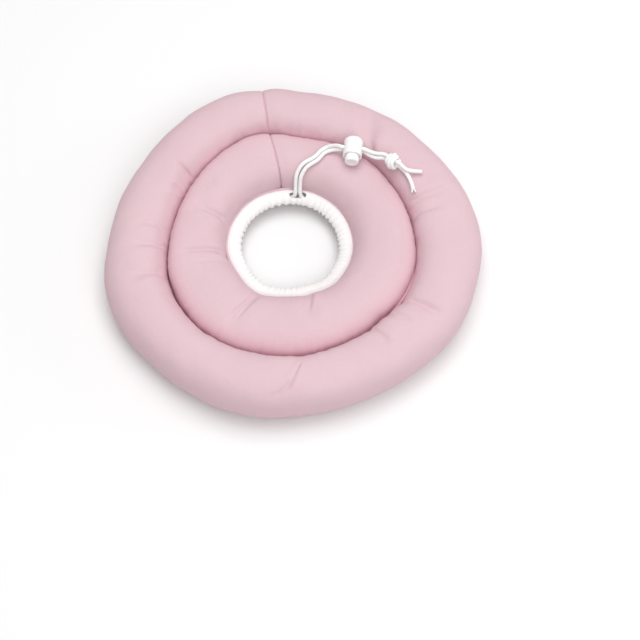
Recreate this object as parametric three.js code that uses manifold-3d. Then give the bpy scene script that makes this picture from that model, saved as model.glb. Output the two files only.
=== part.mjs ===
// A soft recovery cone of the double ring kind: a stuffed cotton ring round the outside, a second one sewn
// inside it, both lying flat. A white cotton casing round the neck opening holds a drawcord, whose two ends
// leave it through a buttonhole, run through a spring cord lock and end in a knot with two frayed tails.
// Millimetres, +Z up, the neck side down. The origin is in the middle of the outline, on the floor.

import * as THREE from "three";
import { mergeVertices } from "three/addons/utils/BufferGeometryUtils.js";
import Module from "manifold-3d";

const wasm = await Module();
wasm.setup();

// Stuffed rings
const outerRadius = 137;
const seamRadius = 92;
const holeRadius = 47;
const outerHeight = 44;
const innerHeight = 38;
const outerPressed = 1.6; // how much of the outer ring's round is pressed flat underneath
const innerPressed = 1.4;
const seamGap = 0.1; // between the two round sections, whose flat facets stand about 0.5 further apart
const freeRoundness = 2.2; // 2 is an ellipse, more is squarer
const seamRoundness = 2.8; // squarer where one ring is pressed against the other
const ringSections = 120;
const outerSides = 14;
const innerSides = 13;
const girthShare = 2.65; // way over the top, against half the width and half the height together
const floorBlend = 0.2; // share of the height in which folds fade out above the floor
const creaseBlend = 0.32; // share of the way over the top in which they fade out from the crease

// The cross seam that closes both rings, and the folds pressed into them
const crossSeamAt = 102.8;
const crossSeamSlant = -3; // degrees that it turns on its way from the crease to a ring's free edge
const crossSeamDepth = 1.4;
const crossSeamWidth = 4.5;
const foldWidth = 5;

// Neck casing, a flat tube of gathered cotton sewn along the hole's edge
const casingWidth = 11.5;
const casingThickness = 7.2;
const casingWall = 1.2;
const casingGap = 0.1; // to the inner ring, before its facets
const casingHeight = 14; // middle of the casing above the floor
const casingTilt = 20; // degrees, inner edge down
const gathers = 21;
const gatherDepth = 0.4;
const casingSections = 84;
const casingSides = 10;
const cavitySections = 56;
const cavitySides = 8;

// Buttonhole in the casing, where the drawcord comes out
const buttonholeAt = 87;
const buttonholeLength = 13;
const buttonholeWidth = 6;

// Drawcord
const cordDiameter = 3;
const cordSides = 8;
const loopOpening = 10.2; // degrees on each side of the buttonhole
const loopPoints = 40;
const loopSteps = 42;
const strandSteps = 30;
const tailSteps = 6;

// Knot
const knotLength = 13;
const knotDiameter = 11.5;
const knotTurns = 3;
const knotGroove = 1.1;
const knotRings = 12;
const knotSides = 12;

// Cord lock, a round barrel with a sprung button, measured from its cord hole
const lockDiameter = 14.4;
const lockWall = 1.6;
const lockMouth = 6.5;
const lockTop = 8.7;
const lockRoof = 1.5; // thickness of its closed end
const lockCorner = 3.2; // rounding of its closed end
const lockCornerSteps = 4;
const lockCrown = 0.4;
const lockSides = 20;
const holeClearance = 0.45;
const strandSpacing = 3.3;
const buttonClearance = 0.3;
const buttonStandsOut = 5.5;
const buttonTravel = 3.2;
const buttonRound = 1.4;

// Cotton, cord and moulded plastic
const pinkCotton = { color: 0xe6c0cb, roughness: 0.95, metalness: 0 };
const whiteCotton = { color: 0xf1eeec, roughness: 0.95, metalness: 0 };
const whiteCord = { color: 0xf4f2f0, roughness: 0.9, metalness: 0 };
const whitePlastic = { color: 0xf6f5f4, roughness: 0.45, metalness: 0 };

// Plan of the rings: at is degrees round from the right, the rest are shares of the three radii
const plan = [
  { at: 0, outer: 1.022, seam: 0.965, hole: 0.93 },
  { at: 15, outer: 1.005, seam: 0.95, hole: 0.955 },
  { at: 30, outer: 0.975, seam: 0.945, hole: 0.985 },
  { at: 45, outer: 0.965, seam: 0.955, hole: 1.025 },
  { at: 60, outer: 0.96, seam: 0.952, hole: 1.055 },
  { at: 75, outer: 0.96, seam: 0.957, hole: 1.09 },
  { at: 88, outer: 0.968, seam: 0.968, hole: 1.11 },
  { at: 91, outer: 0.977, seam: 0.978, hole: 1.113 },
  { at: 95, outer: 1, seam: 1, hole: 1.118 },
  { at: 99, outer: 1.006, seam: 1.027, hole: 1.122 },
  { at: 103, outer: 1.002, seam: 1.045, hole: 1.125 },
  { at: 108, outer: 1.01, seam: 1.048, hole: 1.127 },
  { at: 113, outer: 1.016, seam: 1.045, hole: 1.13 },
  { at: 125, outer: 1.008, seam: 1.012, hole: 1.135 },
  { at: 135, outer: 0.992, seam: 0.993, hole: 1.13 },
  { at: 150, outer: 0.983, seam: 0.972, hole: 1.115 },
  { at: 165, outer: 0.993, seam: 0.97, hole: 1.09 },
  { at: 180, outer: 1.01, seam: 0.987, hole: 1.07 },
  { at: 195, outer: 1.045, seam: 1.036, hole: 1.02 },
  { at: 210, outer: 1.043, seam: 1.06, hole: 0.99 },
  { at: 225, outer: 1.016, seam: 1.07, hole: 0.995 },
  { at: 240, outer: 1.018, seam: 1.06, hole: 0.955 },
  { at: 255, outer: 1.01, seam: 1.035, hole: 0.9 },
  { at: 270, outer: 0.985, seam: 1.02, hole: 0.865 },
  { at: 285, outer: 0.97, seam: 0.99, hole: 0.85 },
  { at: 300, outer: 0.965, seam: 0.98, hole: 0.87 },
  { at: 315, outer: 0.98, seam: 0.97, hole: 0.89 },
  { at: 330, outer: 1.005, seam: 0.99, hole: 0.895 },
  { at: 345, outer: 1.005, seam: 0.985, hole: 0.91 },
];

// Folds in the cloth: at is degrees round where a fold starts, from and to are shares of the way from the
// crease over the top to the free edge, lean is the degrees that it turns, deep is a share of the height
const outerFolds = [
  { at: 12, from: 0.2, to: 0.44, lean: 0, deep: 0.05 },
  { at: 18, from: 0.25, to: 0.52, lean: -2, deep: 0.06 },
  { at: 51, from: 0.25, to: 0.56, lean: 9, deep: 0.08 },
  { at: 147, from: 0.2, to: 0.42, lean: 2, deep: 0.08 },
  { at: 156, from: 0.2, to: 0.36, lean: 1, deep: 0.05 },
  { at: 174, from: 0.3, to: 0.48, lean: -1, deep: 0.04 },
  { at: 183, from: 0.25, to: 0.46, lean: -1, deep: 0.05 },
  { at: 198, from: 0.3, to: 0.5, lean: -2, deep: 0.05 },
  { at: 270, from: 0.42, to: 0.62, lean: -6, deep: 0.05 },
  { at: 306, from: 0.25, to: 0.46, lean: -1, deep: 0.05 },
  { at: 318, from: 0.25, to: 0.44, lean: 0, deep: 0.05 },
  { at: 327, from: 0.25, to: 0.52, lean: 0, deep: 0.07 },
];

const innerFolds = [
  { at: 159, from: 0.5, to: 0.7, lean: 1, deep: 0.05 },
  { at: 189, from: 0.46, to: 0.72, lean: 0, deep: 0.06 },
  { at: 198, from: 0.5, to: 0.65, lean: 1, deep: 0.04 },
  { at: 237, from: 0.46, to: 0.72, lean: 2, deep: 0.08 },
  { at: 279, from: 0.56, to: 0.72, lean: 3, deep: 0.05 },
];

// Route of the drawcord's two strands, from inside the casing through the cord lock to the knot
const strandRoutes = [
  [
    [-5, 45.9, 14],
    [-2.9, 45.9, 14.4],
    [-1.1, 46, 15.6],
    [0.2, 46.2, 17.9],
    [0.6, 47.3, 21],
    [0.7, 49.6, 24.5],
    [0.8, 52.3, 29.1],
    [1.2, 54.2, 32],
    [2.4, 56.8, 34.8],
    [4.6, 59.6, 37.4],
    [7.6, 62, 38.9],
    [10.9, 63.8, 39.5],
    [14, 65.6, 39.8],
    [16.7, 68, 39.9],
    [18.9, 70.8, 39.9],
    [21.8, 73.1, 40.3],
    [25.6, 74.2, 41.8],
    [29.4, 73.5, 44.2],
    [32.6, 71.9, 46.4],
    [35.8, 70.3, 47.4],
    [43.6, 69.4, 47.45],
    [51.4, 68.5, 47.4],
    [55, 67, 47.1],
    [58.6, 65.5, 47],
    [62.4, 64.2, 47.6],
    [66.4, 63.1, 48.8],
  ],
  [
    [9.7, 43.9, 14],
    [7.6, 44.5, 14.4],
    [5.9, 45.1, 15.6],
    [4.5, 45.9, 17.9],
    [4, 47.2, 21],
    [4.1, 49.4, 24.5],
    [4.3, 52, 29.2],
    [4.7, 53.4, 31.8],
    [5.8, 55.3, 33.8],
    [7.6, 57.5, 36.1],
    [10, 59.5, 37.9],
    [12.8, 61.2, 38.5],
    [15.9, 63, 39],
    [18.9, 65.5, 39.6],
    [21.3, 68.6, 39.8],
    [24.2, 70.7, 40],
    [27.8, 71.4, 40.9],
    [31.6, 70.9, 42.8],
    [35.8, 70.2, 44.1],
    [43.6, 69.4, 44.15],
    [51.4, 68.5, 44.1],
    [54.8, 66.2, 43.9],
    [58, 64.1, 44.1],
    [61.6, 62.5, 44.6],
    [65.9, 61.6, 45.8],
  ],
];
const tailRoutes = [
  [
    [78.3, 54.6, 48.9],
    [80.6, 52.3, 48.2],
    [83.2, 50.5, 47.6],
    [87.2, 49.9, 46.7],
    [90.6, 49.9, 46.1],
    [94.2, 49.8, 45.8],
  ],
  [
    [77.9, 54.5, 45.7],
    [80, 52.9, 44.8],
    [82.4, 50.4, 44.3],
    [84.3, 47.2, 44.1],
    [86, 43.2, 43.9],
    [87.2, 39.2, 43.5],
    [87.9, 35.8, 43],
  ],
];
const knotPlace = [72.5, 58.2, 47.6];
const knotTurn = -35; // degrees round +Z from lying along +X
const lockPlace = [43.6, 69.4, 45.8]; // middle of the cord hole
const lockTurn = -6; // degrees round +Z from lying along +Y

// A share of the plan at any angle, on a smooth closed curve through its rows
function planShare(degrees, column) {
  const at = THREE.MathUtils.euclideanModulo(degrees, 360);
  const next = plan.findIndex((row) => row.at > at);
  const after = next < 0 ? plan.length : next;
  const [before, from, to, beyond] = [after - 2, after - 1, after, after + 1].map((i) => {
    const turns = Math.floor(i / plan.length);
    const row = plan[i - turns * plan.length];
    return { at: row.at + 360 * turns, share: row[column] };
  });
  const span = to.at - from.at;
  const leave = ((to.share - before.share) / (to.at - before.at)) * span;
  const arrive = ((beyond.share - from.share) / (beyond.at - from.at)) * span;
  const t = (at - from.at) / span;
  return (
    from.share * (2 * t ** 3 - 3 * t ** 2 + 1) +
    leave * (t ** 3 - 2 * t ** 2 + t) +
    to.share * (3 * t ** 2 - 2 * t ** 3) +
    arrive * (t ** 3 - t ** 2)
  );
}

const outerEdge = (degrees) => outerRadius * planShare(degrees, "outer");
const seamEdge = (degrees) => seamRadius * planShare(degrees, "seam");
const holeEdge = (degrees) => holeRadius * planShare(degrees, "hole");

// A point at a distance from the plan's centre, at a height
function planPoint(degrees, radius, height) {
  const radians = THREE.MathUtils.degToRad(degrees);
  return new THREE.Vector3(radius * Math.cos(radians), radius * Math.sin(radians), height);
}

// A torus whose points go where place puts them, from the degrees round and the number of the side
function shapedRing(sections, sides, place) {
  const geometry = new THREE.TorusGeometry(1, 0.5, sides, sections);
  const { position, uv } = geometry.attributes;
  for (let i = 0; i < position.count; i++) {
    const section = Math.round(uv.getX(i) * sections) % sections;
    const side = Math.round(uv.getY(i) * sides) % sides;
    const point = place((360 * section) / sections, side);
    position.setXYZ(i, point.x, point.y, point.z);
  }
  geometry.computeVertexNormals();
  return geometry;
}

// How deep the cross seam and the folds pull the cloth in at a point
function foldDepth(folds, height, degrees, over, centre, girth) {
  const arc = (turn) => THREE.MathUtils.degToRad(turn) * centre;
  const offSeam = arc(degrees - crossSeamAt - crossSeamSlant * over);
  let depth = crossSeamDepth * Math.exp(-((offSeam / crossSeamWidth) ** 2));
  for (const fold of folds) {
    const turn = THREE.MathUtils.euclideanModulo(degrees - fold.at + 180, 360) - 180;
    const line = new THREE.Vector2(arc(fold.lean), (fold.to - fold.from) * girth);
    const here = new THREE.Vector2(arc(turn), (over - fold.from) * girth);
    const along = THREE.MathUtils.clamp(here.dot(line) / line.lengthSq(), 0, 1);
    const off = here.distanceTo(line.multiplyScalar(along));
    depth += fold.deep * height * Math.exp(-((off / foldWidth) ** 2));
  }
  return depth;
}

// A stuffed ring between two edges, round over the top and pressed flat on the floor. Its section is walked
// from the outward edge of the flat base over the top to the inward edge.
function stuffedRing(ring) {
  const { outward, inward, outRoundness, inRoundness, height, pressed, sides, folds, seamOutward } = ring;
  const half = (height + pressed) / 2;
  const centreHeight = height - half;
  const restAngle = (roundness) => Math.asin((centreHeight / half) ** (roundness / 2));
  const restOut = restAngle(outRoundness);
  const restIn = restAngle(inRoundness);
  const firstSide = Math.round(0.75 * sides + 0.5);
  return shapedRing(ringSections, sides, (degrees, side) => {
    const walked = ((side - firstSide + sides) % sides) / (sides - 1);
    const angle = walked * (Math.PI + restOut + restIn) - restOut;
    const power = 2 / (Math.cos(angle) > 0 ? outRoundness : inRoundness);
    const halfWidth = (outward(degrees) - inward(degrees)) / 2;
    const centre = (outward(degrees) + inward(degrees)) / 2;
    const across = Math.sign(Math.cos(angle)) * Math.abs(Math.cos(angle)) ** power * halfWidth;
    const up = Math.sign(Math.sin(angle)) * Math.abs(Math.sin(angle)) ** power * half;
    const over = seamOutward ? walked : 1 - walked;
    const dent = foldDepth(folds, height, degrees, over, centre, girthShare * (halfWidth + half));
    const offFloor = THREE.MathUtils.clamp((centreHeight + up) / (floorBlend * height), 0, 1);
    const free = offFloor * THREE.MathUtils.smoothstep(over, creaseBlend / 2, creaseBlend);
    const kept = 1 - (dent * free) / Math.hypot(across, up);
    const base = walked === 0 || walked === 1;
    return planPoint(degrees, centre + across * kept, base ? 0 : centreHeight + up * kept);
  });
}

// The casing's middle, and its outer or inner surface, drawn up in gathers
const casingReach = (casingWidth / 2) * Math.cos(THREE.MathUtils.degToRad(casingTilt));
const casingMiddle = (degrees) => holeEdge(degrees) - casingGap - casingReach;

function casingSkin(wall, sections, sides) {
  const tilt = THREE.MathUtils.degToRad(casingTilt);
  return shapedRing(sections, sides, (degrees, side) => {
    const gather = (gatherDepth * (1 - Math.cos(THREE.MathUtils.degToRad(gathers * degrees)))) / 2;
    const angle = (2 * Math.PI * side) / sides;
    const across = Math.cos(angle) * (casingWidth / 2 - wall - gather);
    const up = Math.sin(angle) * (casingThickness / 2 - wall - gather);
    const radius = casingMiddle(degrees) + across * Math.cos(tilt) - up * Math.sin(tilt);
    return planPoint(degrees, radius, casingHeight + across * Math.sin(tilt) + up * Math.cos(tilt));
  });
}

// Closed solids for cutting, and back again
function toSolid(geometry) {
  const bare = geometry.clone();
  bare.deleteAttribute("normal");
  bare.deleteAttribute("uv");
  const merged = mergeVertices(bare, 1e-4);
  return new wasm.Manifold(
    new wasm.Mesh({
      numProp: 3,
      vertProperties: merged.attributes.position.array,
      triVerts: new Uint32Array(merged.index.array),
    }),
  );
}

function toGeometry(solid) {
  const { vertProperties, triVerts } = solid.getMesh();
  const geometry = new THREE.BufferGeometry();
  geometry.setAttribute("position", new THREE.BufferAttribute(vertProperties, 3));
  geometry.setIndex(new THREE.BufferAttribute(triVerts, 1));
  geometry.computeVertexNormals();
  return geometry;
}

// A slot with round ends, along X, cut through Z
function slotCutter(length, width, depth) {
  const straight = (length - width) / 2;
  const outline = new THREE.Shape();
  outline.absarc(straight, 0, width / 2, -Math.PI / 2, Math.PI / 2);
  outline.absarc(-straight, 0, width / 2, Math.PI / 2, (3 * Math.PI) / 2);
  return new THREE.ExtrudeGeometry(outline, { depth, bevelEnabled: false, curveSegments: 5 });
}

function neckCasing() {
  const buttonhole = slotCutter(buttonholeLength, buttonholeWidth, casingThickness);
  buttonhole.rotateZ(THREE.MathUtils.degToRad(buttonholeAt + 90));
  const place = planPoint(buttonholeAt, casingMiddle(buttonholeAt), casingHeight);
  buttonhole.translate(place.x, place.y, place.z);
  const cloth = toSolid(casingSkin(0, casingSections, casingSides))
    .subtract(toSolid(casingSkin(casingWall, cavitySections, cavitySides)))
    .subtract(toSolid(buttonhole));
  return toGeometry(cloth);
}

// A cord through points, its section a polygon
function cordAlong(points, steps) {
  const section = new THREE.Shape();
  for (let side = 0; side < cordSides; side++) {
    const angle = (2 * Math.PI * side) / cordSides;
    const corner = new THREE.Vector2(Math.cos(angle), Math.sin(angle)).multiplyScalar(cordDiameter / 2);
    if (side === 0) section.moveTo(corner.x, corner.y);
    else section.lineTo(corner.x, corner.y);
  }
  const route = new THREE.CatmullRomCurve3(points, false, "centripetal");
  return new THREE.ExtrudeGeometry(section, { steps, extrudePath: route, bevelEnabled: false });
}

// The stretch of drawcord inside the casing, all the way round from one side of the buttonhole to the other
function cordLoop() {
  const points = [];
  for (let i = 0; i <= loopPoints; i++) {
    const degrees = buttonholeAt + loopOpening + ((360 - 2 * loopOpening) * i) / loopPoints;
    points.push(planPoint(degrees, casingMiddle(degrees), casingHeight));
  }
  return cordAlong(points, loopSteps);
}

// The knot, a barrel of a few turns round the two strands, lying along X
function knotBarrel() {
  const profile = [new THREE.Vector2(0, -knotLength / 2)];
  for (let i = 1; i < knotRings; i++) {
    const along = i / knotRings;
    const round = Math.sin(Math.PI * along) ** 0.5;
    const groove = (knotGroove * (1 - Math.cos(2 * Math.PI * knotTurns * along))) / 2;
    const radius = (knotDiameter / 2) * round - knotGroove + groove;
    profile.push(new THREE.Vector2(radius, knotLength * (along - 0.5)));
  }
  profile.push(new THREE.Vector2(0, knotLength / 2));
  return new THREE.LatheGeometry(profile, knotSides).rotateZ(-Math.PI / 2);
}

// A slot across the lock for the two strands, one above the other, longer towards the button's back or face
function strandSlot(before, after) {
  const height = strandSpacing + cordDiameter + 2 * holeClearance;
  const width = cordDiameter + 2 * holeClearance + before + after;
  const slot = new THREE.BoxGeometry(2 * lockDiameter, width, height);
  return slot.translate(0, (after - before) / 2, 0);
}

// The lock's barrel along Y, its closed end at +Y
const lockFloor = lockTop - lockRoof;

function lockBarrel() {
  const radius = lockDiameter / 2;
  const shoulder = lockTop - lockCrown - lockCorner;
  const profile = [new THREE.Vector2(0, lockTop)];
  for (let i = 0; i <= lockCornerSteps; i++) {
    const angle = (Math.PI / 2) * (1 - i / lockCornerSteps);
    const corner = new THREE.Vector2(Math.cos(angle), Math.sin(angle)).multiplyScalar(lockCorner);
    profile.push(corner.add(new THREE.Vector2(radius - lockCorner, shoulder)));
  }
  profile.push(new THREE.Vector2(radius, -lockMouth));
  profile.push(new THREE.Vector2(radius - lockWall, -lockMouth));
  profile.push(new THREE.Vector2(radius - lockWall, lockFloor));
  profile.push(new THREE.Vector2(0, lockFloor));
  return profile.reverse();
}

// The button ends far enough below the barrel's floor to be pressed in
const buttonEnd = lockFloor - buttonClearance - buttonTravel;

function lockButton() {
  const radius = lockDiameter / 2 - lockWall - buttonClearance;
  const face = -lockMouth - buttonStandsOut;
  const profile = [
    new THREE.Vector2(0, face),
    new THREE.Vector2(radius - buttonRound, face),
    new THREE.Vector2(radius - buttonRound * (1 - Math.SQRT1_2), face + buttonRound * (1 - Math.SQRT1_2)),
    new THREE.Vector2(radius, face + buttonRound),
    new THREE.Vector2(radius, buttonEnd),
    new THREE.Vector2(0, buttonEnd),
  ];
  return profile;
}

function turned(profile, cutter) {
  const solid = toSolid(new THREE.LatheGeometry(profile, lockSides));
  return toGeometry(solid.subtract(toSolid(cutter)));
}

// Assembly
const cone = new THREE.Group();

function add(parent, name, geometry, finish) {
  const mesh = new THREE.Mesh(geometry, new THREE.MeshStandardMaterial(finish));
  mesh.name = name;
  parent.add(mesh);
  return mesh;
}

// The rings and the casing are made about the plan's centre, then moved by the middle of the outline
const rings = new THREE.Group();
cone.add(rings);

const outerRing = stuffedRing({
  outward: outerEdge,
  inward: (degrees) => seamEdge(degrees) + seamGap / 2,
  outRoundness: freeRoundness,
  inRoundness: seamRoundness,
  height: outerHeight,
  pressed: outerPressed,
  sides: outerSides,
  folds: outerFolds,
  seamOutward: false,
});
const outline = new THREE.Box3().setFromObject(add(rings, "outer_ring", outerRing, pinkCotton));
const middle = outline.getCenter(new THREE.Vector3());
rings.position.set(-middle.x, -middle.y, 0);

const innerRing = stuffedRing({
  outward: (degrees) => seamEdge(degrees) - seamGap / 2,
  inward: holeEdge,
  outRoundness: seamRoundness,
  inRoundness: freeRoundness,
  height: innerHeight,
  pressed: innerPressed,
  sides: innerSides,
  folds: innerFolds,
  seamOutward: true,
});
add(rings, "inner_ring", innerRing, pinkCotton);

add(rings, "neck_casing", neckCasing(), whiteCotton);
add(rings, "drawcord_loop", cordLoop(), whiteCord);

const toPoints = (route) => route.map((point) => new THREE.Vector3(...point));
strandRoutes.forEach((route, i) => {
  add(cone, `drawcord_strand_${i + 1}`, cordAlong(toPoints(route), strandSteps), whiteCord);
});
tailRoutes.forEach((route, i) => {
  add(cone, `drawcord_tail_${i + 1}`, cordAlong(toPoints(route), tailSteps), whiteCord);
});

const knot = add(cone, "drawcord_knot", knotBarrel(), whiteCord);
knot.position.set(...knotPlace);
knot.rotation.z = THREE.MathUtils.degToRad(knotTurn);

const cordLock = new THREE.Group();
cordLock.position.set(...lockPlace);
cordLock.rotation.z = THREE.MathUtils.degToRad(lockTurn);
cone.add(cordLock);
add(cordLock, "cord_lock_body", turned(lockBarrel(), strandSlot(0, 0)), whitePlastic);
add(cordLock, "cord_lock_button", turned(lockButton(), strandSlot(buttonTravel, 0)), whitePlastic);

export default cone;
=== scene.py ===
# A soft recovery cone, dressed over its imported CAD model: two stuffed cotton rings sewn one inside the
# other, a gathered neck casing with its drawcord, and a sprung cord lock that keeps the cord tight.

import math

import bpy
import numpy as np
from mathutils import Matrix, Vector, noise
from mathutils.geometry import interpolate_bezier
from mathutils.kdtree import KDTree


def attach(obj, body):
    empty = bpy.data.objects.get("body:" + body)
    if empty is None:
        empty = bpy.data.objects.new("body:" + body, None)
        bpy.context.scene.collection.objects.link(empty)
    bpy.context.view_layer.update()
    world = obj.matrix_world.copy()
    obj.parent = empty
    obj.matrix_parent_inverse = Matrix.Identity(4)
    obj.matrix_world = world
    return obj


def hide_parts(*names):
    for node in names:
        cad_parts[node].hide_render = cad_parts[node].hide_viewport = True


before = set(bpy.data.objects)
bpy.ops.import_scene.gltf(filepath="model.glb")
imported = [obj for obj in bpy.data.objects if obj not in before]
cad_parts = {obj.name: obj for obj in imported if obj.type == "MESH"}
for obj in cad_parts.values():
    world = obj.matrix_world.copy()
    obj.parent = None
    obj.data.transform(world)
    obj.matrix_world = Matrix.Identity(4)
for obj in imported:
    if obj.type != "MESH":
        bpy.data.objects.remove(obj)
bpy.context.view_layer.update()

# Camera
# It stands in front and looks down on the rings at the photograph's angle. The middle of the rings lands
# left of and above the picture's middle, so the camera is turned a little right and down, with no lens
# shift.
look_at = Vector((-0.0020, 0.0034, 0.020))
elevation = math.radians(61)
distance = 1.3
focal_pixels = 1745
picture_pixels = 640
pixels_left = 28
pixels_above = 77
aim_right = math.atan(pixels_left / focal_pixels)
aim_down = math.atan(pixels_above / focal_pixels)
tilt = elevation + aim_down
right = Vector((1, 0, 0))
ahead = Vector((0, math.cos(tilt), -math.sin(tilt)))
upward = Vector((0, math.sin(tilt), math.cos(tilt)))
aimed = ahead * math.cos(aim_right) + right * math.sin(aim_right)
sideways = right * math.cos(aim_right) - ahead * math.sin(aim_right)
camera_place = look_at + distance * Vector((0, -math.cos(elevation), math.sin(elevation)))
bpy.ops.object.camera_add(location=camera_place)
camera = bpy.context.object
camera.rotation_euler = Matrix((sideways, upward, -aimed)).transposed().to_euler()
camera.data.lens = camera.data.sensor_width * focal_pixels / picture_pixels
bpy.context.scene.camera = camera


# Drawcord
# Round braided cotton cord, 3 mm thick. Both ends come up out of the casing's buttonhole, run side by side
# through the cord lock, are tied together in a knot, and end in short tails whose cut ends have frayed.
cord_diameter = 0.003
braid_step = 0.00036
braid_sides = 32
braid_relief = 0.00014
strand_routes = (
    (
        (-5, 45.9, 14),
        (-2.9, 45.9, 14.4),
        (-1.1, 46, 15.6),
        (0.2, 46.2, 17.9),
        (0.6, 47.3, 21),
        (0.7, 49.6, 24.5),
        (0.8, 52.3, 29.1),
        (1.2, 54.2, 32),
        (2.4, 56.8, 34.8),
        (4.6, 59.6, 37.4),
        (7.6, 62, 38.9),
        (10.9, 63.8, 39.5),
        (14, 65.6, 39.8),
        (16.7, 68, 39.9),
        (18.9, 70.8, 39.9),
        (21.8, 73.1, 40.3),
        (25.6, 74.2, 41.8),
        (29.4, 73.5, 44.2),
        (32.6, 71.9, 46.4),
        (35.8, 70.3, 47.4),
        (43.6, 69.4, 47.45),
        (51.4, 68.5, 47.4),
        (55, 67, 47.1),
        (58.6, 65.5, 47),
        (62.4, 64.2, 47.6),
        (66.4, 63.1, 48.8),
        (72.4, 58.9, 49),
        (78.3, 54.6, 48.9),
        (80.6, 52.3, 48.2),
        (83.2, 50.5, 47.6),
        (87.2, 49.9, 46.7),
        (90.6, 49.9, 46.1),
        (94.2, 49.8, 45.8),
    ),
    (
        (9.7, 43.9, 14),
        (7.6, 44.5, 14.4),
        (5.9, 45.1, 15.6),
        (4.5, 45.9, 17.9),
        (4, 47.2, 21),
        (4.1, 49.4, 24.5),
        (4.3, 52, 29.2),
        (4.7, 53.4, 31.8),
        (5.8, 55.3, 33.8),
        (7.6, 57.5, 36.1),
        (10, 59.5, 37.9),
        (12.8, 61.2, 38.5),
        (15.9, 63, 39),
        (18.9, 65.5, 39.6),
        (21.3, 68.6, 39.8),
        (24.2, 70.7, 40),
        (27.8, 71.4, 40.9),
        (31.6, 70.9, 42.8),
        (35.8, 70.2, 44.1),
        (43.6, 69.4, 44.15),
        (51.4, 68.5, 44.1),
        (54.8, 66.2, 43.9),
        (58, 64.1, 44.1),
        (61.6, 62.5, 44.6),
        (65.9, 61.6, 45.8),
        (72, 58, 45.9),
        (77.9, 54.5, 45.7),
        (80, 52.9, 44.8),
        (82.4, 50.4, 44.3),
        (84.3, 47.2, 44.1),
        (86, 43.2, 43.9),
        (87.2, 39.2, 43.5),
        (87.9, 35.8, 43),
    ),
)
millimetre = 0.001


def smooth_route(points, step):
    """Points one step apart on a smooth curve through a route's points."""
    route = [Vector(point) for point in points]
    fine = []
    for i, (start, end) in enumerate(zip(route, route[1:])):
        reach = (end - start).length / 3
        leave = (end - route[max(i - 1, 0)]).normalized() * reach
        arrive = (route[min(i + 2, len(route) - 1)] - start).normalized() * reach
        fine += interpolate_bezier(start, start + leave, end - arrive, end, 12)[:-1]
    fine = np.array(fine + [route[-1]])
    along = np.concatenate(([0], np.cumsum(np.linalg.norm(np.diff(fine, axis=0), axis=1))))
    stops = np.linspace(0, along[-1], round(along[-1] / step) + 1)
    return np.stack([np.interp(stops, along, fine[:, axis]) for axis in range(3)], axis=1)


def braided_tube(name, centres, diameter, sides, relief, taper=0):
    """A tube along centres with a braid's diamond relief, and a cloth map in metres along and round it."""
    tangents = np.gradient(centres, axis=0)
    tangents /= np.linalg.norm(tangents, axis=1)[:, None]
    across = np.array(Vector(tangents[0]).orthogonal().normalized())
    turns = np.arange(sides) * 2 * math.pi / sides
    step = np.linalg.norm(centres[1] - centres[0])
    corners = []
    for i, (centre, tangent) in enumerate(zip(centres, tangents)):
        across = across - tangent * (across @ tangent)
        across /= np.linalg.norm(across)
        beside = np.cross(tangent, across)
        along = i * step / diameter * 2 * math.pi / 1.1
        diamond = np.sqrt(np.abs(np.cos(2 * turns + along) * np.cos(2 * turns - along)))
        radius = diameter / 2 + relief * (diamond - 0.6)
        if taper:
            closing = min(1, (i + 0.3) * step / taper, (len(centres) - 0.7 - i) * step / taper)
            radius = radius * math.sqrt(max(closing, 0.05))
        outward = np.cos(turns)[:, None] * across + np.sin(turns)[:, None] * beside
        corners.append(centre + radius[:, None] * outward)
    faces = []
    for i in range(len(centres) - 1):
        for j in range(sides):
            after = (j + 1) % sides
            faces.append((i * sides + j, i * sides + after, (i + 1) * sides + after, (i + 1) * sides + j))
    faces.append(tuple(reversed(range(sides))))
    faces.append(tuple(range((len(centres) - 1) * sides, len(centres) * sides)))
    mesh = bpy.data.meshes.new(name)
    mesh.from_pydata(np.concatenate(corners).tolist(), [], faces)
    cloth_map = mesh.uv_layers.new(name="cloth")
    for face in mesh.polygons:
        rows = [mesh.loops[k].vertex_index // sides for k in face.loop_indices]
        columns = [mesh.loops[k].vertex_index % sides for k in face.loop_indices]
        if max(columns) == sides - 1 and len(columns) == 4:
            columns = [column if column else sides for column in columns]
        for k, row, column in zip(face.loop_indices, rows, columns):
            cloth_map.data[k].uv = (row * step, column * math.pi * diameter / sides)
    mesh.shade_smooth()
    tube = bpy.data.objects.new(name, mesh)
    bpy.context.collection.objects.link(tube)
    return tube


class Wire:
    """A shader socket that takes Python's operators, and adds the node for each."""

    tree = None

    def __init__(self, socket):
        self.socket = socket

    @classmethod
    def node(cls, kind, settings=(), **values):
        made = cls.tree.nodes.new(kind)
        for setting, value in dict(settings).items():
            setattr(made, setting, value)
        for socket, value in values.items():
            key = int(socket[1:]) if socket[0] == "_" else socket.replace("_", " ")
            wanted = made.inputs[key]
            if isinstance(value, Wire):
                cls.tree.links.new(value.socket, wanted)
            else:
                wanted.default_value = value
        return made

    def sum(self, operation, *others):
        values = {f"_{i}": value for i, value in enumerate((self, *others))}
        return Wire(self.node("ShaderNodeMath", {"operation": operation}, **values).outputs[0])

    def __add__(self, other):
        return self.sum("ADD", other)

    def __mul__(self, other):
        return self.sum("MULTIPLY", other)

    def __sub__(self, other):
        return self.sum("SUBTRACT", other)

    def __rsub__(self, other):
        return (self * -1) + other

    __radd__ = __add__
    __rmul__ = __mul__

    def sine(self):
        return self.sum("SINE")

    def size(self):
        return self.sum("ABSOLUTE")

    def floor(self):
        return self.sum("FLOOR")

    def odd(self):
        return self.sum("FLOORED_MODULO", 2.0)

    def smooth(self, low, high):
        settings = {"interpolation_type": "SMOOTHSTEP"}
        made = self.node("ShaderNodeMapRange", settings, Value=self, From_Min=low, From_Max=high)
        return Wire(made.outputs[0])


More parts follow.
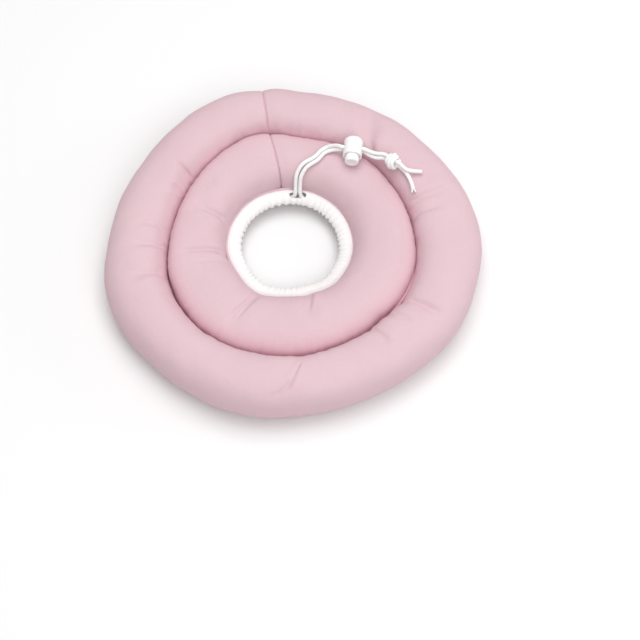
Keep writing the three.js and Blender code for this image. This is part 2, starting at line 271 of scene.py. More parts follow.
def new_material(name):
    """An empty material with its shader, and the wire tree set to it."""
    material = bpy.data.materials.new(name)
    material.use_nodes = True
    Wire.tree = material.node_tree
    return material, material.node_tree.nodes["Principled BSDF"]


def link(wire, socket):
    Wire.tree.links.new(wire.socket, socket)


def tinted(factor, dark, light):
    """A colour between two, by a factor."""
    mix = Wire.node("ShaderNodeMix", {"data_type": "RGBA"}, _0=factor, _6=(*dark, 1), _7=(*light, 1))
    return Wire(mix.outputs[2])


def cloth_threads(pitch, wander):
    """Distances along and across the cloth in threads, which wander so that no row runs straight."""
    place = Wire.node("ShaderNodeUVMap", {"uv_map": "cloth"}).outputs[0]
    loose = Wire.node("ShaderNodeTexNoise", Vector=Wire(place), Scale=wander, Detail=2.0)
    split = Wire.node("ShaderNodeSeparateXYZ", Vector=Wire(place))
    shake = (Wire(loose.outputs[0]) - 0.5) * 1.4
    return Wire(split.outputs[0]) * (1 / pitch) + shake, Wire(split.outputs[1]) * (1 / pitch) + shake


def mottled(scale, detail=3.0):
    place = Wire(Wire.node("ShaderNodeTexCoord").outputs["Object"])
    return Wire(Wire.node("ShaderNodeTexNoise", Vector=place, Scale=scale, Detail=detail).outputs[0])


def raised(height, strength, depth):
    return Wire(Wire.node("ShaderNodeBump", Height=height, Strength=strength, Distance=depth).outputs[0])


# White cotton yarns cross in diamonds, with painted shade that makes the colour a little greyer between
# them, and a soft fuzz
white_cord, shader = new_material("white_cord")
along_yarn, round_yarn = cloth_threads(0.0011, 90.0)
yarns = ((along_yarn + round_yarn) * 22.0).sine() * 0.5 + ((along_yarn - round_yarn) * 22.0).sine() * 0.5
fuzz = mottled(2600.0)
cord_shade = fuzz * 0.7 + yarns * 0.15 + 0.15
link(tinted(cord_shade, (0.84, 0.835, 0.835), (0.98, 0.975, 0.97)), shader.inputs["Base Color"])
link(raised(yarns * 0.6 + fuzz, 0.35, 0.0002), shader.inputs["Normal"])
shader.inputs["Roughness"].default_value = 0.88
shader.inputs["Sheen Weight"].default_value = 0.15

# The knot: both strands wound round themselves. Its sizes are in millimetres, across and upwards, at the
# core and over the wraps.
knot_place = Vector((72.5, 58.2, 47.6)) * millimetre
knot_turn = Matrix.Rotation(math.radians(-35), 4, "Z")
core_wide = 1.1
core_high = 0.8
wraps_wide = 2.7
wraps_high = 2.5
wrap_turns = 1.3
wrap_steps = 36
wrap_length = 4.2
wrap_sway = 0.6
wrap_sides = 24
wrap_relief = 0.00012


def wrap_round(place, bulge, start):
    """Points of one wrap of the knot: out of the core, a turn and a third round it, and back under."""
    wrap = []
    for i in range(wrap_steps + 1):
        share = i / wrap_steps
        turn = 2 * math.pi * wrap_turns * share + start
        out = min(1, 6 * share, 6 * (1 - share)) ** 0.5
        wide = core_wide + (wraps_wide + bulge) * out
        high = core_high + (wraps_high + bulge) * out
        along = place + wrap_length * (share - 0.5) + wrap_sway * math.sin(2 * turn)
        local = Vector((along, wide * math.cos(turn), high * math.sin(turn))) * millimetre
        wrap.append(knot_place + knot_turn @ local)
    return wrap


def gathered_into(name, parts):
    """Several finished meshes joined into one piece."""
    bpy.ops.object.select_all(action="DESELECT")
    for part in parts:
        part.select_set(True)
    bpy.context.view_layer.objects.active = parts[0]
    bpy.ops.object.join()
    parts[0].name = name
    return parts[0]


wraps = []
for place, bulge, start in ((-2.7, -0.2, -2.4), (-0.6, 1.2, -2.9), (2.5, 0.5, -1.5)):
    centres = smooth_route(wrap_round(place, bulge, start), braid_step)
    wraps.append(braided_tube("wrap", centres, cord_diameter, wrap_sides, wrap_relief))
knot = gathered_into("tied_knot", wraps)
knot.data.materials.append(white_cord)
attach(knot, "cone")
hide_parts("drawcord_knot")

yarns_in_cord = 30
yarn_diameter = 0.0006
yarn_sides = 7
yarn_step = 0.0005
yarn_taper = 0.0008
yarns_start = 0.0016
yarns_round = 0.0011


def frayed_end(name, route, apart, reach, seed):
    """Loose yarns at a cut end, in two tufts that lie apart."""
    tip = Vector(route[-1])
    out = (tip - Vector(route[-6])).normalized()
    beside = out.cross(Vector((0, 0, 1))).normalized()
    above = beside.cross(out)
    yarn_ends = []
    for i in range(yarns_in_cord):
        turn = 2.4 * i + seed
        round_tip = beside * math.cos(turn) + above * math.sin(turn)
        spread = math.sqrt((i + 0.5) / yarns_in_cord)
        tuft = beside * (apart if i % 2 else -apart) + round_tip * (yarns_round - 0.6 * apart) * spread
        start = tip - out * yarns_start + round_tip * yarns_round * spread
        length = reach * (1 + 0.18 * math.sin(5 * i + seed))
        middle = tip + out * length * 0.4 + tuft
        end = tip + out * length + tuft * 1.15
        yarn_route = smooth_route((start, middle, end), yarn_step)
        yarn_ends.append(braided_tube("yarn", yarn_route, yarn_diameter, yarn_sides, 0.0, yarn_taper))
    fray = gathered_into(name, yarn_ends)
    fray.data.materials.append(white_cord)
    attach(fray, "cone")
    return fray


cord_lines = []
tufts_apart = (0.0002, 0.0011)
tufts_reach = (0.0006, 0.0018)
for number, (route, apart, reach) in enumerate(zip(strand_routes, tufts_apart, tufts_reach), 1):
    centres = smooth_route([Vector(point) * millimetre for point in route], braid_step)
    cord_lines.append(centres)
    strand = braided_tube(f"drawcord_{number}", centres, cord_diameter, braid_sides, braid_relief)
    strand.data.materials.append(white_cord)
    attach(strand, "cone")
    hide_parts(f"drawcord_strand_{number}", f"drawcord_tail_{number}")
    fray = frayed_end(f"frayed_end_{number}", centres, apart, reach, number)

# Stuffed rings
# Each is a strip of pink cotton sewn to a tube, filled with polyester fibre and closed by a cross seam at
# the back. The two are sewn together along the crease, are pressed flat underneath by their own weight, and
# are tightest over the top.
plan_middle = Vector((-0.00013, -0.00052))
ring_sections = 120


def ring_grid(node, sides):
    """The corners of a CAD ring, a row for each section, from the outward edge of its base over the top."""
    corners = np.array([vertex.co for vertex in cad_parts[node].data.vertices])
    corners = np.unique(np.round(corners, 6), axis=0)
    flat = corners[:, :2] - np.array(plan_middle)
    turn = np.degrees(np.arctan2(flat[:, 1], flat[:, 0]))
    section = np.round(turn * ring_sections / 360).astype(int) % ring_sections
    rows = []
    for number in range(ring_sections):
        here = corners[section == number]
        reach = np.linalg.norm(here[:, :2] - np.array(plan_middle), axis=1)
        centre = (reach.min() + reach.max()) / 2
        turn = np.degrees(np.arctan2(here[:, 2] - here[:, 2].max() / 2, reach - centre))
        kept = here[np.argsort((turn + 90) % 360)]
        if len(kept) != sides:
            raise SystemExit(f"{node} section {number} has {len(kept)} corners")
        rows.append(kept)
    return np.array(rows)


def outward_normals(mesh):
    normals = np.zeros(len(mesh.vertices) * 3, np.float32)
    mesh.vertex_normals.foreach_get("vector", normals)
    return normals.reshape(-1, 3)


def corner_places(mesh):
    places = np.zeros(len(mesh.vertices) * 3, np.float32)
    mesh.vertices.foreach_get("co", places)
    return places.reshape(-1, 3).astype(float)


def put_corners(mesh, places):
    mesh.vertices.foreach_set("co", places.astype(np.float32).ravel())
    mesh.update()


def apply_modifier(piece, kind, **settings):
    bpy.ops.object.select_all(action="DESELECT")
    bpy.context.view_layer.objects.active = piece
    modifier = piece.modifiers.new(kind.lower(), kind)
    for setting, value in settings.items():
        setattr(modifier, setting, value)
    bpy.ops.object.modifier_apply(modifier=modifier.name)


def subdivided(piece, levels):
    apply_modifier(piece, "SUBSURF", levels=levels, render_levels=levels, uv_smooth="NONE")


def filled(piece, held, swell):
    """The cloth blown up by its stuffing, held where it is sewn or pressed, and moved by swell at most."""
    rest = corner_places(piece.data)
    group = piece.vertex_groups.new(name="held")
    for index, weight in enumerate(held):
        group.add([index], float(weight), "REPLACE")
    bpy.ops.object.select_all(action="DESELECT")
    bpy.context.view_layer.objects.active = piece
    cloth = piece.modifiers.new("stuffing", "CLOTH")
    cloth.settings.vertex_group_mass = "held"
    cloth.settings.use_pressure = True
    cloth.settings.uniform_pressure_force = 4
    cloth.settings.shrink_min = -0.035
    cloth.settings.tension_stiffness = 20
    cloth.settings.bending_stiffness = 0.3
    cloth.settings.effector_weights.gravity = 0
    for number in range(1, 21):
        bpy.context.scene.frame_set(number)
    bpy.ops.object.modifier_apply(modifier="stuffing")
    bpy.context.scene.frame_set(1)
    moved = corner_places(piece.data) - rest
    far = np.linalg.norm(moved, axis=1)[:, None]
    put_corners(piece.data, rest + moved * np.minimum(1, swell / np.maximum(far, 1e-9)))


def cloth_shares(mesh):
    """Degrees round and share of the way over, for every vertex, from the cloth map."""
    shares = np.zeros((len(mesh.vertices), 2))
    corner = np.zeros(len(mesh.loops), np.int32)
    mesh.loops.foreach_get("vertex_index", corner)
    values = np.zeros(len(mesh.loops) * 2, np.float32)
    mesh.uv_layers["cloth"].uv.foreach_get("vector", values)
    shares[corner] = values.reshape(-1, 2)
    return shares[:, 0], shares[:, 1]


def smoothstep(low, high, value):
    t = np.clip((value - low) / (high - low), 0, 1)
    return t * t * (3 - 2 * t)


def wrinkled(degrees, over, folds, arc_length, girth):
    """How far the folds lift or sink the cloth: each is a valley with a soft ridge on both sides."""
    lift = np.zeros(len(degrees))
    for at, start, end, lean, width, depth in folds:
        turn = (degrees - at + 180) % 360 - 180
        line = np.array((lean * arc_length, (end - start) * girth))
        length = np.linalg.norm(line)
        here = np.stack((turn * arc_length, (over - start) * girth), axis=1)
        along = here @ line / length
        off = (here[:, 0] * line[1] - here[:, 1] * line[0]) / length
        past = np.maximum(0, np.maximum(-along, along - length))
        thin = width * (0.65 + 0.35 * np.clip(along / length, 0, 1))
        valley = np.exp(-((off / thin) ** 2))
        ridge = np.exp(-(((np.abs(off) - 2.2 * thin) / (1.3 * thin)) ** 2))
        lift += depth * (0.42 * ridge - valley) * np.exp(-((past / (1.6 * width)) ** 2))
    return lift


def clear_of_cords(places, gap):
    """Cloth pressed down under the drawcord that lies on it."""
    tree = KDTree(sum(len(line) for line in cord_lines))
    spots = np.concatenate(cord_lines)
    for index, spot in enumerate(spots):
        tree.insert(spot, index)
    tree.balance()
    low, high = spots.min(axis=0) - 0.004, spots.max(axis=0) + 0.004
    near = np.where(np.all((places > low) & (places < high), axis=1))[0]
    reach = cord_diameter / 2 + gap
    for index in near:
        spot, _, far = tree.find(places[index])
        if far < reach:
            places[index] = np.array(spot) + (places[index] - np.array(spot)) * reach / max(far, 1e-6)
    return places


ring_swell = 0.0006
outer_girth = 0.135
inner_girth = 0.115
map_radius = 0.115
lump_height = 0.0009
grain_height = 0.0004
pucker_height = 0.0004
outer_hollow = 0.0016
inner_fullness = 0.0006
cord_gap = 0.0002
floor_press = 0.0005
floor_reach = 0.0015
seam_at = 102.8
seam_slant = -3
seam_reach = 0.004
seam_dip = 0.0004
seam_depth = 0.0013
seam_width = 0.0004


def sewn_ring(name, node, sides, free_side, folds, puckers, crease_swell, shoulder, seed):
    """A stuffed ring from its CAD corners: subdivided, filled, folded, puckered and cross seamed."""
    grid = ring_grid(node, sides)
    bpy.ops.object.select_all(action="DESELECT")
    bpy.ops.mesh.primitive_torus_add(major_segments=ring_sections, minor_segments=sides, generate_uvs=False)
    ring = bpy.context.object
    ring.name = name
    put_corners(ring.data, grid.reshape(-1, 3))
    cloth_map = ring.data.uv_layers.new(name="cloth")
    for face in ring.data.polygons:
        rows = [ring.data.loops[k].vertex_index // sides for k in face.loop_indices]
        columns = [ring.data.loops[k].vertex_index % sides for k in face.loop_indices]
        if max(rows) - min(rows) > 1:
            rows = [row if row else ring_sections for row in rows]
        if max(columns) - min(columns) > 1:
            columns = [column if column else sides for column in columns]
        for k, row, column in zip(face.loop_indices, rows, columns):
            walked = column / (sides - 1)
            cloth_map.data[k].uv = (row * 360 / ring_sections, walked if free_side < 0 else 1 - walked)
    subdivided(ring, 1)
    degrees, over = cloth_shares(ring.data)
    held = np.maximum(1 - smoothstep(0.16, 0.34, over), smoothstep(0.9, 0.98, over))
    filled(ring, np.maximum(held, (over > 1) | (over < 0)), ring_swell)
    subdivided(ring, 2)

    mesh = ring.data
    degrees, over = cloth_shares(mesh)
    places = corner_places(mesh)
    reach = np.linalg.norm(places[:, :2] - np.array(plan_middle), axis=1)
    girth = outer_girth if free_side > 0 else inner_girth
    arc = math.radians(1) * reach.mean()
    lift = wrinkled(degrees, over, folds, arc, girth)
    free = smoothstep(0.12, 0.3, over) * (1 - smoothstep(0.86, 0.97, over))
    near_crease = np.exp(-(((over - 0.3) / 0.09) ** 2))
    ripple = np.array([noise.noise((d * puckers, seed, o * 2)) for d, o in zip(degrees, over)])
    lumps = np.array([noise.noise(Vector(p) * 28 + Vector((seed, 0, 0))) for p in places])
    grains = np.array([noise.noise(Vector(p) * 75 + Vector((0, seed, 0))) for p in places])
    lift += free * (lump_height * lumps + grain_height * grains + pucker_height * near_crease * ripple)
    lift += crease_swell * (1 - smoothstep(0.22, 0.38, over)) * smoothstep(-0.02, 0.06, over)
    back = smoothstep(-0.75, -0.2, np.sin(np.radians(degrees)))
    lift += shoulder * (1 - back if free_side > 0 else back) * np.exp(-(((over - 0.33) / 0.075) ** 2))
    left = smoothstep(0.3, 0.8, -np.cos(np.radians(degrees)))
    sunk = outer_hollow if free_side > 0 else -inner_fullness
    lift -= sunk * left * np.exp(-(((over - 0.34) / 0.08) ** 2))
    off_seam = (degrees - seam_at - seam_slant * over) * math.radians(1) * reach
    beside_seam = smoothstep(0.24, 0.32, over) * (1 - smoothstep(0.86, 0.97, over))
    drawn_in = seam_reach * np.sign(off_seam) * (np.abs(off_seam) / seam_reach) ** 2.2
    slide = np.where(np.abs(off_seam) < seam_reach, drawn_in - off_seam, 0) * beside_seam
    off_seam = off_seam + slide
    dip = seam_dip * np.exp(-((off_seam / seam_reach) ** 2))
    groove = seam_depth * np.exp(-((off_seam / seam_width) ** 2))
    lift -= beside_seam * (dip + groove)
    flat = (places[:, :2] - np.array(plan_middle)) / reach[:, None]
    places += outward_normals(mesh) * lift[:, None]
    places[:, :2] += np.stack((-flat[:, 1], flat[:, 0]), axis=1) * slide[:, None]
    places[:, 2] = np.maximum(places[:, 2] - floor_press * np.exp(-places[:, 2] / floor_reach), 0)
    put_corners(mesh, clear_of_cords(places, cord_gap))
    for corner in mesh.uv_layers["cloth"].uv:
        corner.vector = (math.radians(corner.vector.x) * map_radius, corner.vector.y * girth)
    mesh.shade_smooth()
    return ring


# Fold rows: degrees round, share of the way over where it starts, share where it ends, lean in degrees,
# width in metres, depth in metres
outer_folds = (
    (145.8, 0.30, 0.43, 0, 0.0026, 0.0013),
    (154.4, 0.28, 0.37, 0, 0.0024, 0.0009),
    (175.4, 0.38, 0.49, 0, 0.0024, 0.0007),
    (184.3, 0.32, 0.47, 0, 0.0026, 0.0012),
    (196.8, 0.36, 0.49, 0, 0.0030, 0.0010),
    (271.6, 0.43, 0.55, -3.5, 0.0016, 0.0009),
    (268.1, 0.55, 0.61, -3, 0.0018, 0.0007),
    (18.9, 0.36, 0.51, 0, 0.0030, 0.0012),
    (12.4, 0.34, 0.45, 0, 0.0024, 0.0008),
    (327.7, 0.40, 0.53, 0, 0.0028, 0.0012),
    (319.2, 0.36, 0.45, 0, 0.0022, 0.0008),
    (306.7, 0.36, 0.47, 0, 0.0026, 0.0009),
    (52.2, 0.34, 0.56, 9.6, 0.0050, 0.0012),
)
inner_folds = (
    (160, 0.52, 0.64, 0, 0.0022, 0.0010),
    (188.3, 0.45, 0.66, 0, 0.0020, 0.0009),
    (196.6, 0.51, 0.60, 0, 0.0020, 0.0006),
    (235.5, 0.48, 0.60, 1.6, 0.0020, 0.0011),
    (238.2, 0.48, 0.60, 1.9, 0.0018, 0.0008),
    (281, 0.57, 0.66, 4, 0.0024, 0.0008),
)


def plain_weave(pitch, wander):
    """Height of a plain weave: warp and weft threads that pass over and under each other in turn."""
    warp, weft = cloth_threads(pitch, wander)
    over_under = (warp.floor() + weft.floor()).odd()
    warp_round = (warp * math.pi).sine().size()
    weft_round = (weft * math.pi).sine().size()
    warp_over = over_under * warp_round * (weft_round * 0.4 + 0.6)
    weft_over = (1 - over_under) * weft_round * (warp_round * 0.4 + 0.6)
    return warp_over + weft_over


# Pink cotton with painted shade near the crease: its base colour is a little deeper and more saturated
# there, standing in for the shade and pink bounce light down in the crease
# Cloth-map heights in metres where the painted crease shade ends and the plain pink begins
crease_shade_ends = 0.028
plain_colour_starts = 0.054
pink_cotton, shader = new_material("pink_cotton")
weave = plain_weave(0.00045, 9.0)
cloud = mottled(22.0)
slub = mottled(420.0)
# The colour is darker in the gaps between threads, which is painted shade, and is also mottled at random by
# cloud and slub
shade = weave * 0.35 + cloud * 0.4 + slub * 0.25
cloth_place = Wire(Wire.node("ShaderNodeUVMap", {"uv_map": "cloth"}).outputs[0])
split = Wire.node("ShaderNodeSeparateXYZ", Vector=cloth_place)
out_of_crease_shade = Wire(split.outputs[1]).smooth(crease_shade_ends, plain_colour_starts)
# The plain pink, and the deeper pink painted as crease shade
plain_pink = tinted(shade, (0.62, 0.413, 0.466), (0.72, 0.548, 0.583))
crease_shaded_pink = tinted(shade, (0.63, 0.365, 0.43), (0.73, 0.48, 0.535))
mix = Wire.node("ShaderNodeMix", {"data_type": "RGBA"}, _0=out_of_crease_shade, _6=crease_shaded_pink, _7=plain_pink)
link(Wire(mix.outputs[2]), shader.inputs["Base Color"])
link(slub * 0.12 + 0.84, shader.inputs["Roughness"])
link(raised(weave + slub * 0.5, 0.3, 0.0002), shader.inputs["Normal"])
shader.inputs["Sheen Weight"].default_value = 0.14
shader.inputs["Sheen Tint"].default_value = (1, 0.82, 0.88, 1)
shader.inputs["Specular IOR Level"].default_value = 0.2

outer_sides = 14
inner_sides = 13
outer = sewn_ring(
    "outer_ring_cover",
    "outer_ring",
    outer_sides,
    free_side=1,
    folds=outer_folds,
    puckers=0.34,
    crease_swell=0.0002,
    shoulder=0.0008,
    seed=3.1,
)
inner = sewn_ring(
    "inner_ring_cover",
    "inner_ring",
    inner_sides,
    free_side=-1,
    folds=inner_folds,
    puckers=0.42,
    crease_swell=0.0005,
    shoulder=0.0028,
    seed=7.7,
)
for ring, node in ((outer, "outer_ring"), (inner, "inner_ring")):
    ring.data.materials.append(pink_cotton)
    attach(ring, "cone")
    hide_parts(node)

# Crease
# The edges of both covers are sewn together down in the crease. Where the rings part a little, at the front
# right, the sewn edge shows as a thin ridge between two lines.
edge_thickness = 0.0009
edge_rise = 0.0165
parted_at = 338
parted_width = 28
parted_rise = 0.0085
parted_out = 0.0005
parted_thicker = 0.0004
outline_waves = 12


def waves(turn, count):
    """Columns of a smooth closed curve: a constant and a number of waves."""
    columns = [np.ones_like(turn)]
    for k in range(1, count + 1):
        columns += [np.cos(k * turn), np.sin(k * turn)]
    return np.stack(columns, axis=1)


def closed_curve(corners, count):
    """The distance from the plan's middle, as waves, that fits corners best."""
    flat = corners[:, :2] - np.array(plan_middle)
    turn = np.arctan2(flat[:, 1], flat[:, 0])
    return np.linalg.lstsq(waves(turn, count), np.linalg.norm(flat, axis=1), rcond=None)[0]


def rolled_strip(name, around, across):
    """A strip of cloth as a grid, with the turn round the ring and round the roll that each corner gets."""
    bpy.ops.object.select_all(action="DESELECT")
    bpy.ops.mesh.primitive_grid_add(x_subdivisions=around, y_subdivisions=across, size=1)
    strip = bpy.context.object
    strip.name = name
    flat = corner_places(strip.data)
    return strip, (flat[:, 0] + 0.5) * 2 * math.pi, (flat[:, 1] + 0.5) * 2 * math.pi


def roll_up(strip, turn, far, rise, length, width):
    """The strip's corners put in place, its cloth map in metres, and its edges sewn together."""
    put_corners(
        strip.data,
        np.stack((plan_middle.x + far * np.cos(turn), plan_middle.y + far * np.sin(turn), rise), axis=1),
    )
    cloth_map = strip.data.uv_layers[0]
    cloth_map.name = "cloth"
    for corner in cloth_map.uv:
        corner.vector = (corner.vector.x * length, corner.vector.y * width)
    bpy.ops.object.mode_set(mode="EDIT")
    bpy.ops.mesh.select_all(action="SELECT")
    bpy.ops.mesh.remove_doubles(threshold=0.00001)
    bpy.ops.object.mode_set(mode="OBJECT")
    strip.data.shade_smooth()


crease_corners = []
for row in ring_grid("outer_ring", outer_sides):
    crease_corners.append(row[np.linalg.norm(row[:, :2] - np.array(plan_middle), axis=1).argmin()])
for row in ring_grid("inner_ring", inner_sides):
    crease_corners.append(row[np.linalg.norm(row[:, :2] - np.array(plan_middle), axis=1).argmax()])
crease_line = closed_curve(np.array(crease_corners), outline_waves)
crease, turn, side = rolled_strip("crease_edge", 720, 10)
parted = np.exp(-(((np.degrees(turn) - parted_at + 180) % 360 - 180) / parted_width) ** 2)
thick = edge_thickness + 0.0001 * np.sin(150 * turn) + parted_thicker * parted
far = waves(turn, outline_waves) @ crease_line + parted_out * parted + thick * np.cos(side)
rise = edge_rise + parted_rise * parted + 0.0003 * np.sin(9 * turn) + 2.2 * thick * np.sin(side)
roll_up(crease, turn, far, rise, length=0.6, width=0.006)
# Its cloth map lies inside the crease's painted shade, so the strip takes the deeper, shaded pink
crease.data.materials.append(pink_cotton)
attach(crease, "cone")

# Neck casing
# A tube of thin white cotton sewn along the inner ring's edge and drawn up in small gathers on the cord
# inside it. Both strands leave it through a stitched buttonhole at the back.
casing_width = 0.0115
casing_thickness = 0.0072
casing_height = 0.014
casing_tilt = math.radians(20)
casing_sections = 840
casing_sides = 24
casing_cloth = 0.0006
casing_gathers = 58
pleat_depth = 0.0007
casing_waves = 9
casing_line = closed_curve(corner_places(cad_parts["neck_casing"].data), casing_waves)


def casing_skin(turn, side):
    """Distance out and height of the casing's cloth, which dips into a pleat at each gather."""
    pleat = casing_gathers * turn + 1.3 * np.sin(5 * turn + 0.4)
    pleat = pleat + 0.9 * np.sin(11 * turn + 2) + 0.5 * np.sin(17 * turn)
    fullness = 0.75 + 0.25 * np.sin(7 * turn + 1)
    deep = pleat_depth * (0.55 - 0.45 * np.cos(side)) * (1 - np.cos(pleat)) * fullness
    across = np.cos(side) * (casing_width / 2 + 0.0002 - deep)
    up = np.sin(side) * (casing_thickness / 2 + 0.0003 - deep)
    line = waves(turn, casing_waves) @ casing_line
    far = line + across * math.cos(casing_tilt) - up * math.sin(casing_tilt)
    return far, casing_height + across * math.sin(casing_tilt) + up * math.cos(casing_tilt)


casing, turn, side = rolled_strip("gathered_casing", casing_sections, casing_sides)
far, rise = casing_skin(turn, side)
roll_up(casing, turn, far, rise, length=0.32, width=0.03)

buttonhole_at = math.radians(87)
buttonhole_length = 0.013
buttonhole_width = 0.0045
buttonhole_far = float((waves(np.array([buttonhole_at]), casing_waves) @ casing_line)[0])
buttonhole = Vector((
    buttonhole_far * math.cos(buttonhole_at),
    buttonhole_far * math.sin(buttonhole_at) + plan_middle.y,
    0,
))
slot_along = Vector((-math.sin(buttonhole_at), math.cos(buttonhole_at), 0))
slot_across = Vector((math.cos(buttonhole_at), math.sin(buttonhole_at), 0))


def in_buttonhole(point):
    """How far a point lies inside the buttonhole's round-ended outline, negative outside."""
    off = Vector((point[0], point[1], 0)) - buttonhole
    along = max(0, abs(off.dot(slot_along)) - (buttonhole_length - buttonhole_width) / 2)
    return buttonhole_width / 2 - math.hypot(along, off.dot(slot_across))


bpy.ops.object.mode_set(mode="EDIT")
bpy.ops.mesh.select_mode(type="FACE")
bpy.ops.mesh.select_all(action="DESELECT")
bpy.ops.object.mode_set(mode="OBJECT")
for face in casing.data.polygons:
    face.select = face.center.z > casing_height and in_buttonhole(face.center) > 0
bpy.ops.object.mode_set(mode="EDIT")
bpy.ops.mesh.delete(type="FACE")
bpy.ops.object.mode_set(mode="OBJECT")
apply_modifier(casing, "SOLIDIFY", thickness=casing_cloth, offset=-1)
casing.data.shade_smooth()

# The folded edge of the inner ring's cloth, along which the casing is sewn. Its cloth map starts well away
# from the crease's, so that it takes none of the painted crease shade and has the plain pink of the rest.
turned_edge_out = 0.0060
turned_edge_rise = 0.0165
turned_edge_map = 0.07
casing_seam, turn, side = rolled_strip("casing_seam", 600, 10)
thick = 0.0011 + 0.00008 * np.sin(130 * turn)
far = waves(turn, casing_waves) @ casing_line + turned_edge_out + thick * np.cos(side)
rise = turned_edge_rise + 1.3 * thick * np.sin(side)
roll_up(casing_seam, turn, far, rise, length=0.32, width=0.006)
for corner in casing_seam.data.uv_layers["cloth"].uv:
    corner.vector.y += turned_edge_map
casing_seam.data.materials.append(pink_cotton)
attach(casing_seam, "cone")

white_cotton, shader = new_material("white_cotton")
weave = plain_weave(0.00032, 60.0)
cloud = mottled(60.0)
# The colour is darker in the gaps between threads, which is painted shade, and is also mottled at random
casing_shade = weave * 0.4 + cloud * 0.5 + 0.1
link(tinted(casing_shade, (0.79, 0.775, 0.765), (0.92, 0.91, 0.905)), shader.inputs["Base Color"])
link(raised(weave, 0.3, 0.00015), shader.inputs["Normal"])
shader.inputs["Roughness"].default_value = 0.9
shader.inputs["Sheen Weight"].default_value = 0.12
casing.data.materials.append(white_cotton)
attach(casing, "cone")
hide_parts("neck_casing")

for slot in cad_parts["drawcord_loop"].material_slots:
    slot.material = white_cord


def casing_point(turn, far):
    """The point on top of the casing at a turn round it and a distance out."""
    sides = np.linspace(0.1, math.pi - 0.1, 90)
    fars, rises = casing_skin(np.full(90, turn), sides)
    rise = rises[np.abs(fars - far).argmin()]
    return Vector((plan_middle.x + far * math.cos(turn), plan_middle.y + far * math.sin(turn), rise))


def sewn_stitch(start, end, thickness):
    """One stitch of thread lying on the cloth between two needle holes."""
    bpy.ops.object.select_all(action="DESELECT")
    bpy.ops.mesh.primitive_uv_sphere_add(segments=8, ring_count=6, radius=1)
    stitch = bpy.context.object
    along = end - start
    turn = along.to_track_quat("Z", "Y").to_matrix().to_4x4()
    size = Matrix.Diagonal((thickness / 2, thickness / 2, along.length / 2, 1))
    stitch.data.transform(Matrix.Translation((start + end) / 2) @ turn @ size)
    return stitch


stitches = []
row_stitches = 92
row_out = 0.0028
row_lift = 0.0001
row_thread = 0.00042
for i in range(row_stitches):
    ends = []
    for share in (i + 0.12, i + 0.88):
        turn = 2 * math.pi * share / row_stitches
        far = float((waves(np.array([turn]), casing_waves) @ casing_line)[0]) + row_out
        ends.append(casing_point(turn, far) + Vector((0, 0, row_lift)))
    stitches.append(sewn_stitch(*ends, row_thread))
rim_stitches = 52
rim_thread = 0.0005
rim_ends = (-0.0003, 0.0011)
straight = buttonhole_length - buttonhole_width
rim = 2 * straight + math.pi * buttonhole_width
for i in range(rim_stitches):
    walked = rim * i / rim_stitches
    half = rim / 2
    sign = 1 if walked < half else -1
    walked %= half
    if walked < straight:
        spot, out = (walked - straight / 2, buttonhole_width / 2), (0, 1)
    else:
        round_end = math.pi * (walked - straight) / (math.pi * buttonhole_width / 2)
        out = (math.sin(round_end), math.cos(round_end))
        spot = (straight / 2 + out[0] * buttonhole_width / 2, out[1] * buttonhole_width / 2)
    ends = []
    for reach in rim_ends:
        along, beside = (sign * (spot[k] + out[k] * reach) for k in (0, 1))
        point = buttonhole + slot_along * along + slot_across * beside
        flat = point.xy - plan_middle
        ends.append(casing_point(math.atan2(flat.y, flat.x), flat.length))
    stitches.append(sewn_stitch(*ends, rim_thread))
stitching = gathered_into("casing_stitching", stitches)
stitching.data.shade_smooth()
stitching.data.materials.append(white_cord)
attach(stitching, "cone")

# Cord lock
# A moulded white barrel with a rounded closed end and a slot across it for both strands. A spring inside
# pushes the button out, so that the button's own slot grips the cord. Pressing the button in frees it.
lock_place = (
    Matrix.Translation(Vector((43.6, 69.4, 45.8)) * millimetre)
    @ Matrix.Rotation(math.radians(-6), 4, "Z")
    @ Matrix.Rotation(math.radians(-90), 4, "X")
)
lock_radius = 0.0072
lock_wall = 0.0016
lock_rounding = 0.0032
lock_mouth = -0.0065
lock_top = 0.0087
lock_floor = 0.0072
slot_high = 0.0072
slot_wide = 0.0039
slot_rounding = 0.0011
cutter_length = 0.04
moulded_edge = 0.00025
sharp_angle = math.radians(35)
button_gap = 0.0003
button_face = -0.012
button_end = 0.0037
button_travel = 0.0032
button_rounding = 0.0013
button_rim = 0.0014
button_dish = 0.0004
button_ridge = 0.0012
button_hollow = 0.0001


def pick_faces(piece, wanted):
    """Into edit mode with only the wanted faces selected."""
    bpy.ops.object.select_all(action="DESELECT")
    piece.select_set(True)
    bpy.context.view_layer.objects.active = piece
    bpy.ops.object.mode_set(mode="EDIT")
    bpy.ops.mesh.select_mode(type="FACE")
    bpy.ops.mesh.select_all(action="DESELECT")
    bpy.ops.object.mode_set(mode="OBJECT")
    for face in piece.data.polygons:
        face.select = wanted(face)
    bpy.ops.object.mode_set(mode="EDIT")


def round_bar(name, radius, low, high):
    """A round bar on the lock's axis, from low to high."""
    bpy.ops.object.select_all(action="DESELECT")
    bpy.ops.mesh.primitive_cylinder_add(
        vertices=72, radius=radius, depth=high - low, location=(0, 0, (high + low) / 2)
    )
    bar = bpy.context.object
    bpy.ops.object.transform_apply(location=True, rotation=True, scale=True)
    bar.name = name
    return bar


def cut_slot(piece, low, high):
    """A slot with rounded corners, cut across the bar for the two strands."""
    bpy.ops.object.select_all(action="DESELECT")
    bpy.ops.mesh.primitive_cube_add(
        size=1, location=(0, 0, (low + high) / 2), scale=(cutter_length, slot_high, high - low)
    )
    cutter = bpy.context.object
    bpy.ops.object.transform_apply(location=True, rotation=True, scale=True)
    apply_modifier(cutter, "BEVEL", width=slot_rounding, segments=5)
    apply_modifier(piece, "BOOLEAN", operation="DIFFERENCE", object=cutter, solver="EXACT")
    bpy.data.objects.remove(cutter)


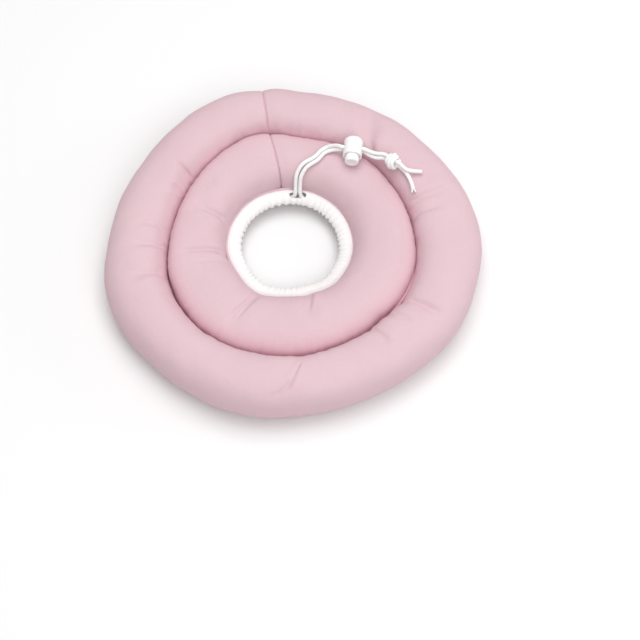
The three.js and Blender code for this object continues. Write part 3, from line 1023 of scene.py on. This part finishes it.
def moulded(piece, body, node):
    """The last touches of a moulded piece: softened edges, its place on the cord, and its finish."""
    apply_modifier(
        piece, "BEVEL", width=moulded_edge, segments=2, limit_method="ANGLE", angle_limit=sharp_angle
    )
    piece.data.transform(lock_place)
    bpy.ops.object.select_all(action="DESELECT")
    piece.select_set(True)
    bpy.context.view_layer.objects.active = piece
    bpy.ops.object.shade_smooth_by_angle(angle=sharp_angle)
    piece.data.materials.append(white_plastic)
    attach(piece, body)
    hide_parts(node)


white_plastic, shader = new_material("white_plastic")
grain = mottled(1500.0)
link(tinted(mottled(90.0), (0.86, 0.86, 0.855), (0.93, 0.93, 0.925)), shader.inputs["Base Color"])
link(grain * 0.1 + 0.36, shader.inputs["Roughness"])
link(raised(grain, 0.15, 0.00005), shader.inputs["Normal"])

barrel = round_bar("lock_barrel", lock_radius, lock_mouth, lock_top)
pick_faces(barrel, lambda face: face.normal.z > 0.9)
bpy.ops.mesh.bevel(offset=lock_rounding, segments=9, affect="EDGES")
bpy.ops.object.mode_set(mode="OBJECT")
pick_faces(barrel, lambda face: face.normal.z < -0.9)
bpy.ops.mesh.inset(thickness=lock_wall)
bpy.ops.mesh.extrude_region_move(TRANSFORM_OT_translate={"value": (0, 0, lock_floor - lock_mouth)})
bpy.ops.object.mode_set(mode="OBJECT")
cut_slot(barrel, -slot_wide / 2, slot_wide / 2)
moulded(barrel, "cone", "cord_lock_body")

button = round_bar("lock_button_piece", lock_radius - lock_wall - button_gap, button_face, button_end)
pick_faces(button, lambda face: face.normal.z < -0.9)
bpy.ops.mesh.bevel(offset=button_rounding, segments=6, affect="EDGES")
bpy.ops.object.mode_set(mode="OBJECT")
pick_faces(button, lambda face: face.normal.z < -0.9 and face.area > 0.00002)
bpy.ops.mesh.inset(thickness=button_rim, depth=-button_dish)
bpy.ops.mesh.inset(thickness=button_ridge, depth=-button_hollow)
bpy.ops.object.mode_set(mode="OBJECT")
cut_slot(button, -slot_wide / 2 - button_travel, slot_wide / 2)
moulded(button, "lock_button", "cord_lock_button")

# Room
# A pale floor under soft studio light, as in the photograph: a wide lamp overhead, one in front, and a
# small one at the right.
bpy.ops.object.select_all(action="DESELECT")
bpy.ops.mesh.primitive_plane_add(size=8)
floor = bpy.context.object
floor.name = "floor"
pale, shader = new_material("pale_floor")
shader.inputs["Base Color"].default_value = (0.84, 0.84, 0.84, 1)
shader.inputs["Roughness"].default_value = 0.9
floor.data.materials.append(pale)

world = bpy.context.scene.world or bpy.data.worlds.new("studio")
bpy.context.scene.world = world
world.use_nodes = True
world.node_tree.nodes["Background"].inputs[0].default_value = (1, 0.99, 0.985, 1)
world.node_tree.nodes["Background"].inputs[1].default_value = 0.46
for name, place, size, power in (
    ("overhead", (0, 0.3, 1.6), 1.1, 14.2),
    ("front", (0.3, -0.9, 1.4), 1.2, 10.6),
    ("right", (1.2, 0.1, 0.5), 0.6, 2),
):
    bpy.ops.object.light_add(type="AREA", location=place)
    lamp = bpy.context.object
    lamp.name = name
    lamp.data.size = size
    lamp.data.energy = power
    lamp.rotation_euler = (Vector((0, 0, 0)) - Vector(place)).to_track_quat("-Z", "Y").to_euler()
bpy.context.scene.view_settings.view_transform = "Standard"
